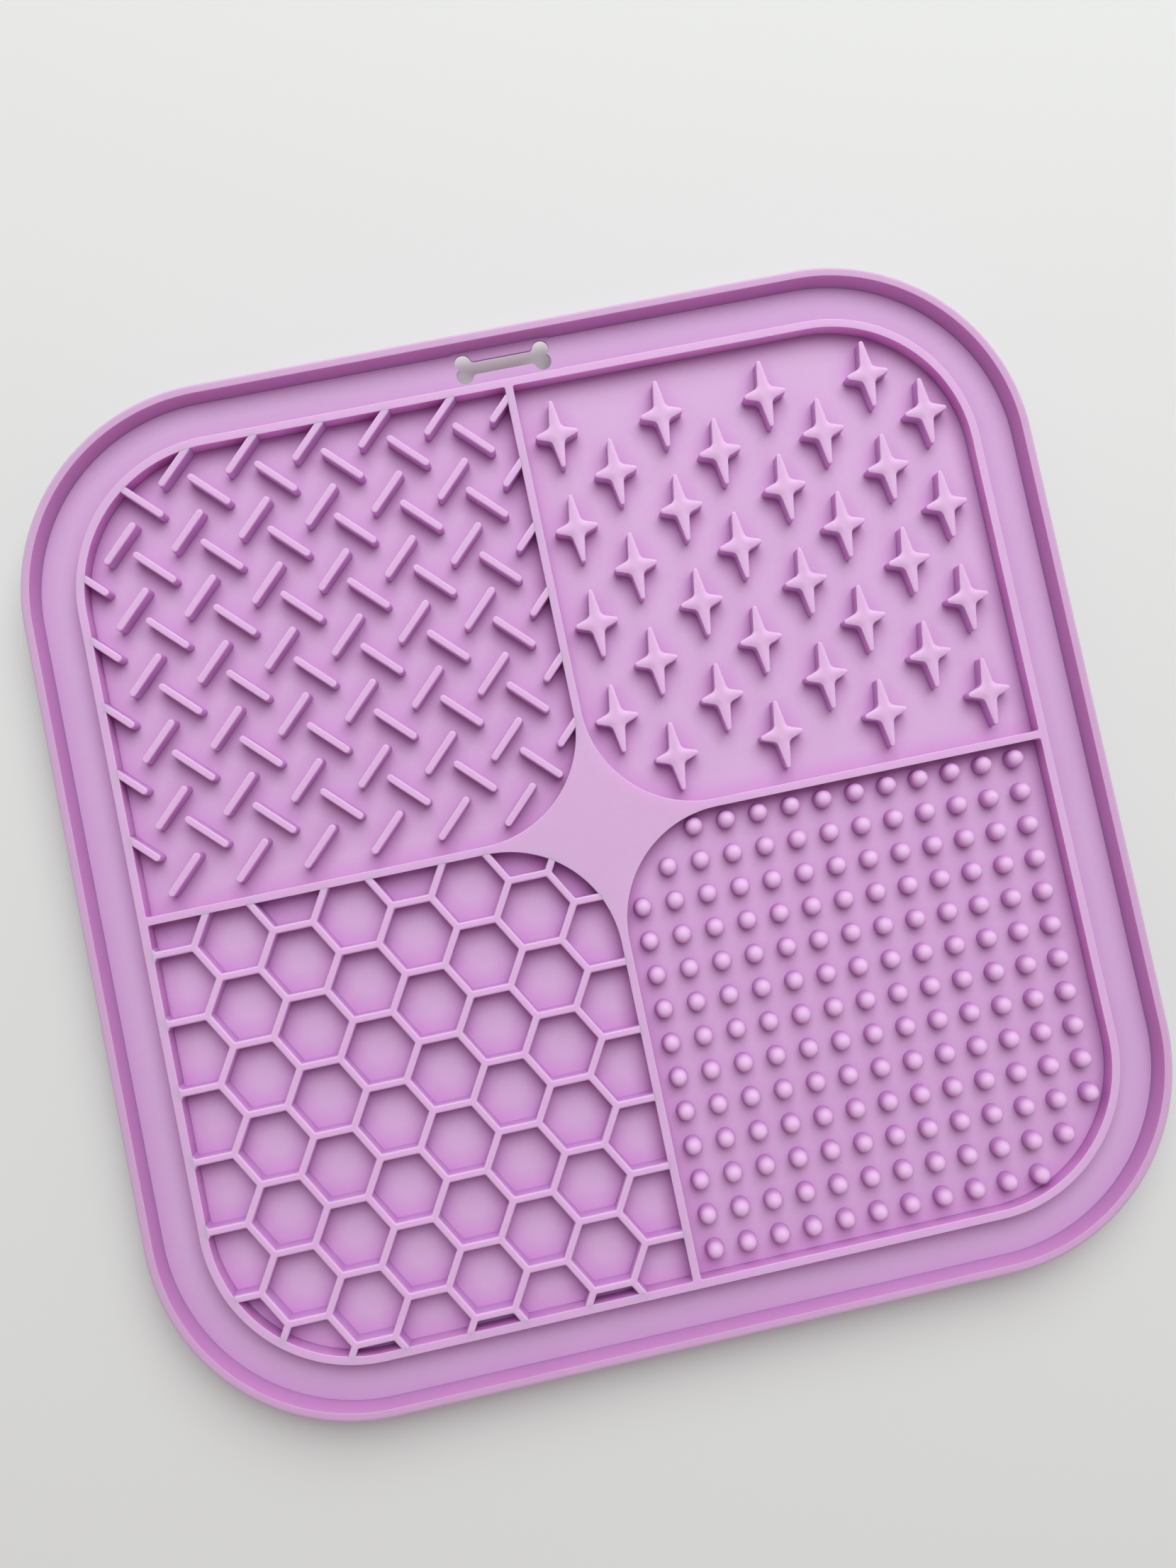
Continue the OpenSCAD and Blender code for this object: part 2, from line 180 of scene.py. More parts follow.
def setTable():
    r = studio["tableReach"]
    mesh = bpy.data.meshes.new("table")
    mesh.from_pydata([(-r, -r, 0), (r, -r, 0), (r, r, 0), (-r, r, 0)], [], [(0, 1, 2, 3)])
    table = bpy.data.objects.new("table", mesh)
    bpy.context.scene.collection.objects.link(table)
    material = bpy.data.materials.new("paleTable")
    material.use_nodes = True
    nodes = material.node_tree.nodes
    shader = nodes["Principled BSDF"]
    shader.inputs["Base Color"].default_value = (*studio["tableColor"], 1)
    shader.inputs["Roughness"].default_value = studio["tableRoughness"]
    shader.inputs["Specular IOR Level"].default_value = studio["tableGloss"]
    place = nodes.new("ShaderNodeTexCoord")
    away = nodes.new("ShaderNodeVectorMath")
    away.operation = "LENGTH"
    far = ramp(nodes, studio["fadeStart"], studio["fadeEnd"], smooth=True)
    path = nodes.new("ShaderNodeLightPath")
    share = calculate(nodes, "MULTIPLY")
    backdrop = nodes.new("ShaderNodeEmission")
    backdrop.inputs["Color"].default_value = (*studio["backdrop"], 1)
    blend = nodes.new("ShaderNodeMixShader")
    linkNodes(material.node_tree,
              ((place, "Object"), (away, 0)), ((away, "Value"), (far, "Value")),
              ((far, "Result"), (share, 0)), ((path, "Is Camera Ray"), (share, 1)),
              ((share, 0), (blend, "Fac")),
              ((shader, "BSDF"), (blend, 1)), ((backdrop, "Emission"), (blend, 2)),
              ((blend, "Shader"), (nodes["Material Output"], "Surface")))
    mesh.materials.append(material)


bpy.context.scene.view_settings.view_transform = "Standard"
setWindowLight()
setRoom()
setTable()
print("studio set")


# lilac silicone: satin, a little translucent, with a fine moulded grain and rare specks; its colour also
# holds painted shade on upright faces and in hollows and a painted highlight on rounded edges
silicone = {
    "color": (0.77, 0.48, 0.74), "deepColor": (0.73, 0.44, 0.70),
    "mottleScale": 55, "mottleDetail": 4,
    "grainScale": 2600, "grainDetail": 3, "grainStrength": 0.5,
    "roughnessSpread": 0.07, "gloss": 0.25,
    "scatterRadius": (1.0, 0.22, 0.65),
    # painted shade: upright faces are darker and deeper in colour than level ones
    "paintedSideShade": (0.80, 0.68, 0.86),
    # how far up a normal points: on upright and level faces, for the painted side shade, and across a rounded
    # edge, for the painted edge highlight
    "uprightSlope": 0.3, "levelSlope": 0.92,
    "bendStart": 0.45, "bendFull": 0.75, "bendFade": 0.93, "bendEnd": 0.995,
    # painted shade: hollows and corners beside walls are darker and deeper in colour, set by ambient
    # occlusion within creviceReach
    "paintedCreviceShade": (0.82, 0.58, 0.80), "creviceReach": 4, "creviceFull": 0.2, "creviceSamples": 8,
    "speckColor": (0.16, 0.07, 0.14), "speckScale": 95, "speckRadius": 0.012, "speckShare": 0.16,
}
# each part's colour is scaled by painted light and shade, which makes parts of the one silicone lighter or
# darker to match how they are lit; some parts have their own painted side shade and a painted highlight on
# rounded edges; creviceReach, scatterDepth and grainDepth are in millimetres
finishesAndPaintedLight = {
    "siliconeFloor": {"roughness": 0.68, "grainDepth": 0.03, "scatter": 0.4, "scatterDepth": 0.9,
                      "paintedLightAndShade": (1.06, 1.09, 1.07)},
    "siliconeChannel": {"roughness": 0.68, "grainDepth": 0.03, "scatter": 0.4, "scatterDepth": 0.9,
                        "paintedLightAndShade": (1.00, 1.03, 1.03)},
    "siliconeWalls": {"roughness": 0.59, "grainDepth": 0.02, "scatter": 0.6, "scatterDepth": 4,
                      "paintedLightAndShade": (1.06, 1.09, 1.06), "paintedSideShade": (0.85, 0.67, 0.86),
                      "paintedEdgeHighlight": (1.09, 1.18, 1.08)},
    "siliconeRim": {"roughness": 0.61, "grainDepth": 0.02, "scatter": 0.5, "scatterDepth": 3.5,
                    "paintedLightAndShade": (0.91, 0.95, 0.91), "paintedSideShade": (0.90, 0.67, 0.89)},
    "siliconeRimEdge": {"roughness": 0.61, "grainDepth": 0.02, "scatter": 0.4, "scatterDepth": 3,
                        "paintedLightAndShade": (0.90, 1.00, 0.92), "paintedSideShade": (0.96, 1.02, 0.98)},
    "siliconeNubs": {"roughness": 0.55, "grainDepth": 0.02, "scatter": 0.45, "scatterDepth": 2.5,
                     "paintedLightAndShade": (1.10, 1.14, 1.10), "paintedEdgeHighlight": (1.05, 1.10, 1.05)},
    "siliconeDomes": {"roughness": 0.55, "grainDepth": 0.02, "scatter": 0.5, "scatterDepth": 2.5,
                      "paintedLightAndShade": (1.16, 1.25, 1.16), "paintedSideShade": (0.76, 0.63, 0.80)},
}


def noise(nodes, scale, detail):
    texture = nodes.new("ShaderNodeTexNoise")
    texture.inputs["Scale"].default_value = scale
    texture.inputs["Detail"].default_value = detail
    return texture


def makeSilicone(name, finish):
    material = bpy.data.materials.new(name)
    material.use_nodes = True
    nodes = material.node_tree.nodes
    shader = nodes["Principled BSDF"]
    place = nodes.new("ShaderNodeTexCoord")
    mottle = noise(nodes, silicone["mottleScale"], silicone["mottleDetail"])
    grain = noise(nodes, silicone["grainScale"], silicone["grainDetail"])
    # painted light and shade: each part's colour is scaled lighter or darker
    deep, pale = ([c * k for c, k in zip(silicone[tone], finish["paintedLightAndShade"])] for tone in ("deepColor", "color"))
    cloud = mixColor(nodes, pale)
    cloud.inputs["A"].default_value = (*deep, 1)
    facing = nodes.new("ShaderNodeSeparateXYZ")
    level = calculate(nodes, "ABSOLUTE")
    # painted shade: upright faces are multiplied by a darker, deeper colour
    upright = ramp(nodes, silicone["uprightSlope"], silicone["levelSlope"], 1, 0)
    sides = mixColor(nodes, finish.get("paintedSideShade", silicone["paintedSideShade"]), "MULTIPLY")
    # painted highlight: rounded edges, between upright and level, are made lighter
    ridge = ramp(nodes, silicone["bendStart"], silicone["bendFull"], smooth=True)
    flat = ramp(nodes, silicone["bendFade"], silicone["bendEnd"], 1, 0)
    bend = calculate(nodes, "MULTIPLY")
    edges = mixColor(nodes, finish.get("paintedEdgeHighlight", (1, 1, 1)), "MULTIPLY")
    # painted shade: ambient occlusion darkens and deepens the colour in hollows and beside walls
    hollow = nodes.new("ShaderNodeAmbientOcclusion")
    hollow.samples = silicone["creviceSamples"]
    hollow.inputs["Distance"].default_value = silicone["creviceReach"] * mm
    closed = ramp(nodes, silicone["creviceFull"], 1, 1, 0)
    creviceShade = mixColor(nodes, silicone["paintedCreviceShade"], "MULTIPLY")
    dots = nodes.new("ShaderNodeTexVoronoi")
    dots.inputs["Scale"].default_value = silicone["speckScale"]
    near = calculate(nodes, "LESS_THAN", silicone["speckRadius"])
    split = nodes.new("ShaderNodeSeparateColor")
    rare = calculate(nodes, "LESS_THAN", silicone["speckShare"])
    both = calculate(nodes, "MULTIPLY")
    speck = mixColor(nodes, silicone["speckColor"])
    spread = silicone["roughnessSpread"]
    satin = ramp(nodes, 0, 1, finish["roughness"] - spread, finish["roughness"] + spread)
    bump = nodes.new("ShaderNodeBump")
    bump.inputs["Strength"].default_value = silicone["grainStrength"]
    bump.inputs["Distance"].default_value = finish["grainDepth"] * mm
    linkNodes(material.node_tree,
              ((place, "Object"), (mottle, "Vector")), ((place, "Object"), (grain, "Vector")),
              ((place, "Object"), (dots, "Vector")),
              ((mottle, "Fac"), (cloud, "Factor")), ((cloud, "Result"), (sides, "A")),
              ((place, "Normal"), (facing, "Vector")), ((facing, "Z"), (level, 0)),
              ((level, 0), (upright, "Value")), ((upright, "Result"), (sides, "Factor")),
              ((level, 0), (ridge, "Value")), ((level, 0), (flat, "Value")),
              ((ridge, "Result"), (bend, 0)), ((flat, "Result"), (bend, 1)), ((bend, 0), (edges, "Factor")),
              ((sides, "Result"), (edges, "A")), ((edges, "Result"), (creviceShade, "A")),
              ((hollow, "AO"), (closed, "Value")),
              ((closed, "Result"), (creviceShade, "Factor")), ((creviceShade, "Result"), (speck, "A")),
              ((dots, "Distance"), (near, 0)), ((dots, "Color"), (split, "Color")),
              ((split, "Red"), (rare, 0)), ((near, 0), (both, 0)), ((rare, 0), (both, 1)),
              ((both, 0), (speck, "Factor")), ((speck, "Result"), (shader, "Base Color")),
              ((mottle, "Fac"), (satin, "Value")), ((satin, "Result"), (shader, "Roughness")),
              ((grain, "Fac"), (bump, "Height")), ((bump, "Normal"), (shader, "Normal")))
    shader.inputs["Subsurface Weight"].default_value = finish["scatter"]
    shader.inputs["Subsurface Scale"].default_value = finish["scatterDepth"] * mm
    shader.inputs["Subsurface Radius"].default_value = silicone["scatterRadius"]
    shader.inputs["Specular IOR Level"].default_value = silicone["gloss"]
    return material


materials = {name: makeSilicone(name, finish) for name, finish in finishesAndPaintedLight.items()}
print("materials made")


# plane outlines, in millimetres; the solid lies on the left of every loop
quarters = ((1, 1), (-1, 1), (-1, -1), (1, -1))     # signs of x and y, anticlockwise


def arc(cx, cy, radius, start, end, steps):
    turns = [math.radians(start + (end - start) * i / steps) for i in range(steps + 1)]
    return [(cx + radius * math.cos(t), cy + radius * math.sin(t)) for t in turns]


def contour(half):                          # round-cornered square that all the mat's outlines follow
    c, steps = mat["cornerCentre"], mat["cornerSteps"]
    return [p for i, (sx, sy) in enumerate(quarters)
            for p in arc(sx * c, sy * c, half - c, 90 * i, 90 * i + 90, steps)]


def mirrored(loop, sx, sy):
    flipped = [(x * sx, y * sy) for x, y in loop]
    return flipped[::-1] if sx * sy < 0 else flipped


def allQuarters(quarter):                   # closes an outline that is alike in every quarter
    return [p for sx, sy in quarters for p in mirrored(quarter, sx, sy)]


def fieldLoop(sx, sy):                      # outline of one field, between walls, dividers and centre star
    c, d, f, s = mat["cornerCentre"], mat["dividerHalf"], mat["fieldHalf"], mat["starReach"]
    steps = mat["cornerSteps"]
    loop = [(f, d)] + arc(c, c, f - c, 0, 90, steps) + [(d, f)] + arc(s, s, s - d, 180, 270, steps)
    return mirrored(loop, sx, sy)


def clean(loop, gap=0.01):                  # drops points that repeat their neighbour
    kept = []
    for p in loop:
        if not kept or math.dist(p, kept[-1]) > gap:
            kept.append(p)
    while math.dist(kept[0], kept[-1]) <= gap:
        kept.pop()
    return kept


def direction(a, b):
    d = math.dist(a, b)
    return ((b[0] - a[0]) / d, (b[1] - a[1]) / d)


def roundCorners(loop, radius, least=25, share=0.45, steps=5):  # least turn, and share of a side to take up
    rounded = []
    for i, p in enumerate(loop):
        a, b = loop[i - 1], loop[(i + 1) % len(loop)]
        u, v = direction(a, p), direction(p, b)
        turn = math.degrees(math.atan2(u[0] * v[1] - u[1] * v[0], u[0] * v[0] + u[1] * v[1]))
        if abs(turn) < least:
            rounded.append(p)
            continue
        side = 1 if turn > 0 else -1
        half = math.radians(abs(turn) / 2)
        run = min(radius * math.tan(half), share * math.dist(a, p), share * math.dist(p, b))
        r = run / math.tan(half)
        start = (p[0] - u[0] * run, p[1] - u[1] * run)
        centre = (start[0] - u[1] * r * side, start[1] + u[0] * r * side)
        first = math.degrees(math.atan2(start[1] - centre[1], start[0] - centre[0]))
        rounded += arc(*centre, r, first, first + turn, steps)
    return rounded


def sideways(loop, longest=2.5):            # per point: the unit vector to the left, and its mitre
    ways = []
    for i, p in enumerate(loop):
        u = direction(loop[i - 1], p)
        v = direction(p, loop[(i + 1) % len(loop)])
        n = (-u[1] - v[1], u[0] + v[0])
        size = math.hypot(*n) or 1
        ways.append((n[0] / size, n[1] / size, min(2 / size, longest)))
    return ways


def inside(points, loops):                  # even-odd test of many points at once
    points = np.asarray(points, float)
    hit = np.zeros(len(points), bool)
    for loop in loops:
        a = np.asarray(loop, float)
        b = np.roll(a, -1, axis=0)
        for (x0, y0), (x1, y1) in zip(a, b):
            if y0 == y1:
                continue
            across = (y0 > points[:, 1]) != (y1 > points[:, 1])
            hit ^= across & (points[:, 0] < (x1 - x0) * (points[:, 1] - y0) / (y1 - y0) + x0)
    return hit


def triangulate(loops, extra=(), gap=1e-5):     # points and triangles of the region between the loops
    points, edges = [], []
    for loop in loops:
        n = len(points)
        points += loop
        edges += [(n + i, n + (i + 1) % len(loop)) for i in range(len(loop))]
    found = delaunay_2d_cdt([Vector(p) for p in points + list(extra)], edges, [], 0, gap)
    spots = [tuple(v) for v in found[0]]
    sources = [s[0] if s else None for s in found[3]]
    middles = [tuple(sum(spots[i][k] for i in tri) / 3 for k in (0, 1)) for tri in found[2]]
    return spots, sources, [tri for tri, kept in zip(found[2], inside(middles, loops)) if kept]


# a shape gathers points, faces and normals before it becomes one mesh
def newShape():
    return {"points": [], "faces": [], "normals": []}


def addPoint(shape, point, normal):
    shape["points"].append(point)
    shape["normals"].append(normal)
    return len(shape["points"]) - 1


def addRing(shape, spots, ways, height, lean):      # the normal leans up from level by this angle
    flat, up = math.cos(math.radians(lean)), math.sin(math.radians(lean))
    return [addPoint(shape, (*p, height), (-nx * flat, -ny * flat, up))
            for p, (nx, ny, mitre) in zip(spots, ways)]


def joinRings(shape, low, high):
    n = len(low)
    shape["faces"] += [(low[i], low[(i + 1) % n], high[(i + 1) % n], high[i]) for i in range(n)]


def addBand(shape, loop, rows):             # rows are inset, height and how far the normal leans up
    ways, rings = sideways(loop), []
    for inset, height, lean in rows:
        spots = [(x + nx * mitre * inset, y + ny * mitre * inset)
                 for (x, y), (nx, ny, mitre) in zip(loop, ways)]
        rings.append((addRing(shape, spots, ways, height, lean), spots))
    for low, high in zip(rings, rings[1:]):
        joinRings(shape, low[0], high[0])
    return rings[0], rings[-1]


def addCap(shape, rings, facing, extra=()):     # closes the rings; extra points come with their normals
    known = [i for ring, spots in rings for i in ring]
    height = shape["points"][known[0]][2]
    spots, sources, triangles = triangulate([spots for ring, spots in rings], [p[:2] for p, normal in extra])
    index = []
    for spot, source in zip(spots, sources):
        if source is None:
            index.append(addPoint(shape, (*spot, height), (0, 0, facing)))
        elif source < len(known):
            index.append(known[source])
        else:
            index.append(addPoint(shape, *extra[source - len(known)]))
    for tri in triangles:
        face = [index[i] for i in tri]
        shape["faces"].append(face if facing > 0 else face[::-1])


def addRaised(shape, loops, profile, extra=()):     # a solid from its foot to its cap
    bands = [addBand(shape, loop, profile) for loop in loops]
    addCap(shape, [top for foot, top in bands], 1, extra)
    addCap(shape, [foot for foot, top in bands], -1)


def addLathe(shape, x, y, profile, steps):      # rows are radius, height and normal, from the axis outwards
    rings = []
    for radius, height, (out, up) in profile:
        if radius == 0:
            rings.append([addPoint(shape, (x, y, height), (0, 0, up))] * steps)
            continue
        turns = [2 * math.pi * i / steps for i in range(steps)]
        rings.append([addPoint(shape, (x + radius * math.cos(t), y + radius * math.sin(t), height),
                               (out * math.cos(t), out * math.sin(t), up)) for t in turns])
    for low, high in zip(rings, rings[1:]):
        for i in range(steps):
            j = (i + 1) % steps
            shape["faces"].append(list(dict.fromkeys((low[i], low[j], high[j], high[i]))))


def finishShape(name, shape, finish, *nodes):
    mesh = bpy.data.meshes.new(name)
    mesh.from_pydata([tuple(v * mm for v in p) for p in shape["points"]], [], shape["faces"])
    mesh.polygons.foreach_set("use_smooth", [True] * len(mesh.polygons))
    mesh.normals_split_custom_set_from_vertices(shape["normals"])
    mesh.materials.append(materials[finish])
    piece = bpy.data.objects.new(name, mesh)
    bpy.context.scene.collection.objects.link(piece)
    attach(piece, "root")
    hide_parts(*nodes)
    return piece


def edgeRounding(top, radius, steps=4):     # profile rows of a rounded upper edge
    turns = [math.radians(90 * i / steps) for i in range(steps + 1)]
    return [(radius * (1 - math.cos(t)), top - radius * (1 - math.sin(t)), math.degrees(t)) for t in turns]


# base sheet with the bone-shaped hole
sheet = {
    "lowerEdge": 0.3,                       # rounding of its lower outer edge
    "bevelMiddle": 0.3,                     # where a rounding's middle row lies, as a share of its radius
    "lobeRadius": 1.65, "lobeX": 7.85, "lobeY": 1.34, "lobeSteps": 16,
    "waistHalf": 1.3, "waistFillet": 0.9, "filletSteps": 6,
    "holeInset": 5.94,                      # from the mat's edge to the middle of the hole
    "lip": 0.5, "lipRounding": 0.12, "lipLean": -60, "relief": 0.28,
    "sinkPitch": 21.5, "sinkDepth": 0.08, "sinkSpread": 3.0, "gridStep": 1.7,
    "seamInset": 0.8, "seam": 0.02,         # the two sheets meet under the wall
}


def boneLoop(y):
    r, bx, by, w, f = (sheet[k] for k in ("lobeRadius", "lobeX", "lobeY", "waistHalf", "waistFillet"))
    fy = w + f
    fx = bx - math.sqrt((r + f) ** 2 - (fy - by) ** 2)
    touch = math.degrees(math.atan2(fy - by, fx - bx))
    dent = math.degrees(math.asin(by / r))
    quarter = arc(bx, by, r, -dent, touch, sheet["lobeSteps"])
    quarter += arc(fx, fy, f, touch - 180, -90, sheet["filletSteps"])
    return clean([(px, py + y) for px, py in allQuarters(quarter)])


def sinkPoint(x, y):                        # faint sinks over the suction cups, with their slopes
    p, spread = sheet["sinkPitch"], sheet["sinkSpread"]
    dx, dy = x - round(x / p) * p, y - round(y / p) * p
    deep = sheet["sinkDepth"] * math.exp(-(dx * dx + dy * dy) / (2 * spread ** 2))
    slope = deep / spread ** 2
    return (x, y, mat["sheetTop"] - deep), Vector((-dx * slope, -dy * slope, 1)).normalized()


def seamRows():                             # upright edge where the two sheets meet
    low, high, seam = mat["sheetBottom"], mat["sheetTop"], sheet["seam"]
    return [(seam, low, -90), (0, low + seam, 0), (0, high - seam, 0), (seam, high, 90)]


def makeFieldSheet():
    shape = newShape()
    foot, top = addBand(shape, contour(mat["wallOuter"] - sheet["seamInset"]), seamRows())
    count = int(mat["fieldHalf"] / sheet["gridStep"])
    grid = [(i * sheet["gridStep"], j * sheet["gridStep"])
            for i in range(-count, count + 1) for j in range(-count, count + 1)]
    held = inside(grid, [contour(mat["fieldHalf"])])
    addCap(shape, [top], 1, [sinkPoint(*p) for p, kept in zip(grid, held) if kept])
    addCap(shape, [foot], -1)
    finishShape("fieldSheet", shape, "siliconeFloor", "field_sheet")


def makeChannelSheet():
    shape = newShape()
    low, high, seam = mat["sheetBottom"], mat["sheetTop"], sheet["seam"]
    e, g, r, lip = (sheet[k] for k in ("lowerEdge", "lipRounding", "relief", "lip"))
    em, gm = e * sheet["bevelMiddle"], g * sheet["bevelMiddle"]
    outerRows = [(e, low, -90), (em, low + em, -45), (0, low + e, 0), (0, high - seam, 0), (seam, high, 90)]
    holeRows = [(r + seam, low, -90), (r, low + seam, 0), (r, high - lip, 0),
                (0, high - lip, sheet["lipLean"]), (0, high - g, 0), (gm, high - gm, 45), (g, high, 90)]
    bands = [addBand(shape, contour(mat["half"]), outerRows),
             addBand(shape, contour(mat["wallOuter"] - sheet["seamInset"])[::-1], seamRows()),
             addBand(shape, boneLoop(mat["half"] - sheet["holeInset"])[::-1], holeRows)]
    addCap(shape, [top for foot, top in bands], 1)
    addCap(shape, [foot for foot, top in bands], -1)
    finishShape("channelSheet", shape, "siliconeChannel", "channel_sheet", "hanging_tab")


makeFieldSheet()
makeChannelSheet()
print("sheet made")


# raised rim, swept round the mat's edge
rim = {
    "foot": 2.75, "land": 1.85,             # widths at the foot and at the flat top
    "edge": 0.8, "edgeRows": 8, "innerEdge": 0.14, "innerRows": 3,      # roundings of the two top edges
    "sink": 0.03, "sinkInset": 0.1,         # how its inner foot reaches into the sheet
    "hem": 0.02, "hemDrop": 0.001,          # lower edge on the outer side
    "recessHalf": 9.8, "recessDepth": 0.28, "recessEase": 0.12,         # beside the hanging hole
}


def rimRing(width, recess):                 # contour at a width from the edge, set back beside the hole
    half = mat["half"] - width
    c, s, e = mat["cornerCentre"], rim["recessHalf"], rim["recessEase"]
    loop = []
    for i, (sx, sy) in enumerate(quarters):
        loop += arc(sx * c, sy * c, half - c, 90 * i, 90 * i + 90, mat["cornerSteps"])
        if i == 0:
            loop += [(s + e, half), (s - e, half + recess), (e - s, half + recess), (-s - e, half)]
    return loop


def makeRim():
    shape = newShape()
    low, top, land, inner = mat["sheetTop"], mat["top"], rim["land"], rim["innerEdge"]
    slope = math.degrees(math.atan2(rim["foot"] - land, mat["rise"]))
    rows = [(rim["foot"] - rim["sinkInset"], low - rim["sink"], -90, 1),
            (rim["hem"], low - rim["hemDrop"], -90, 0), (0, low, 0, 0)]
    rounding = edgeRounding(top, rim["edge"], rim["edgeRows"])
    rows += [(width, height, lean, 0) for width, height, lean in rounding]
    for i in range(rim["innerRows"] + 1):
        past = (90 - slope) * i / rim["innerRows"]
        t = math.radians(past)
        rows.append((land - inner + inner * math.sin(t), top - inner + inner * math.cos(t), 90 + past, 0))
    rows.append((rim["foot"], low - rim["sink"], 180 - slope, 1))
    rings = []
    for width, height, lean, recessed in rows:
        loop = rimRing(width, rim["recessDepth"] * recessed)
        rings.append(addRing(shape, loop, sideways(loop), height, lean))
    for last, ring in zip(rings, rings[1:] + rings[:1]):
        joinRings(shape, last, ring)
    piece = finishShape("outerRim", shape, "siliconeRim", "rim_east", "rim_north", "rim_west", "rim_south")
    # painted light: the underside, hem and outer rounding take a second copy of the rim's silicone with paler
    # painted light and shade
    piece.data.materials.append(materials["siliconeRimEdge"])
    outerBands = rim["edgeRows"] + 2        # underside, hem and outer rounding are paler
    for face in piece.data.polygons:
        if face.index // len(rings[0]) < outerBands:
            face.material_index = 1


makeRim()
print("rim made")


# wall, dividers and centre star share one crisp flat top
walls = {"edge": 0.12, "corner": 0.4}


def makeWalls():
    shape = newShape()
    loops = [contour(mat["wallOuter"])]
    loops += [roundCorners(clean(fieldLoop(sx, sy)), walls["corner"])[::-1] for sx, sy in quarters]
    addRaised(shape, loops, [(0, mat["foot"], 0)] + edgeRounding(mat["top"], walls["edge"]))
    finishShape("fieldWalls", shape, "siliconeWalls", "inner_wall", "centre_star",
                "divider_north", "divider_east", "divider_south", "divider_west")


makeWalls()
print("walls made")


# ribs and honeycomb are cut where they run into a wall, a little inside the wall
def clipLoop(loop, region, gap=1e-6):       # keeps what lies on the left of every edge of a convex region
    for a, b in zip(region, region[1:] + region[:1]):
        if math.dist(a, b) < gap:
            continue
        u = direction(a, b)
        sides = [u[0] * (y - a[1]) - u[1] * (x - a[0]) for x, y in loop]
        kept = []
        for i, p in enumerate(loop):
            q, s, t = loop[(i + 1) % len(loop)], sides[i], sides[(i + 1) % len(loop)]
            if s >= 0:
                kept.append(p)
            if (s < 0) != (t < 0):
                k = s / (s - t)
                kept.append((p[0] + (q[0] - p[0]) * k, p[1] + (q[1] - p[1]) * k))
        loop = kept
        if len(loop) < 3:
            return []
    return clean(loop)


def wallClip(sx, sy, depth, steps=16):      # a field grown into its walls by a depth
    c, d, f = mat["cornerCentre"], mat["dividerHalf"] - depth, mat["fieldHalf"] + depth
    return mirrored([(d, d), (f, d)] + arc(c, c, f - c, 0, 90, steps) + [(d, f)], sx, sy)


# short diagonal ribs
ribs = {
    "length": 9.8, "width": 1.45, "endSteps": 12, "lean": 45,
    "edge": 0.36, "edgeRows": 5, "draft": 0.05, "drop": 0.02,
    "pitchX": 12.986, "pitchY": 12.945, "columns": 7,
    "risingX": 1.377, "risingY": 7.289, "risingRows": 7,
    "fallingX": 8.758, "fallingY": 14.443, "fallingRows": 6,
    "intoWall": 0.45, "leastPoints": 3,     # a rib shows if this many of its points lie in the field
}


def ribLoop(x, y, angle):
    h, r = (ribs["length"] - ribs["width"]) / 2, ribs["width"] / 2
    loop = arc(h, 0, r, -90, 90, ribs["endSteps"]) + arc(-h, 0, r, 90, 270, ribs["endSteps"])
    c, s = math.cos(math.radians(angle)), math.sin(math.radians(angle))
    return [(x + px * c - py * s, y + px * s + py * c) for px, py in loop]


def makeRibRow(name, node, firstX, y, angle):
    shape = newShape()
    region = wallClip(-1, 1, ribs["intoWall"])
    field = fieldLoop(-1, 1)
    profile = [(-ribs["draft"], mat["foot"], 0)]
    profile += edgeRounding(mat["top"] - ribs["drop"], ribs["edge"], ribs["edgeRows"])
    for i in range(ribs["columns"]):
        loop = clipLoop(ribLoop(-firstX - i * ribs["pitchX"], y, angle), region)
        if loop and inside(loop, [field]).sum() >= ribs["leastPoints"]:
            addRaised(shape, [loop], profile)
    finishShape(name, shape, "siliconeNubs", node)


for row in range(ribs["risingRows"]):
    makeRibRow(f"risingRibs{row}", f"rising_ribs_{row}",
               ribs["risingX"], ribs["risingY"] + row * ribs["pitchY"], ribs["lean"])
for row in range(ribs["fallingRows"]):
    makeRibRow(f"fallingRibs{row}", f"falling_ribs_{row}",
               ribs["fallingX"], ribs["fallingY"] + row * ribs["pitchY"], -ribs["lean"])
print("diagonal ribs made")


# honeycomb ribs
honeycomb = {
    "pitch": 13.146, "ribWidth": 1.45, "cellX": -38.47, "cellY": -39.42,
    "reach": 5,                             # cells each way from the one at cellX, cellY
    "edge": 0.42, "edgeRows": 5, "corner": 0.3, "drop": 0.02,
    "frameDepth": 0.62, "cellDepth": 0.3,   # how far its frame and its cut cells reach into the walls
}


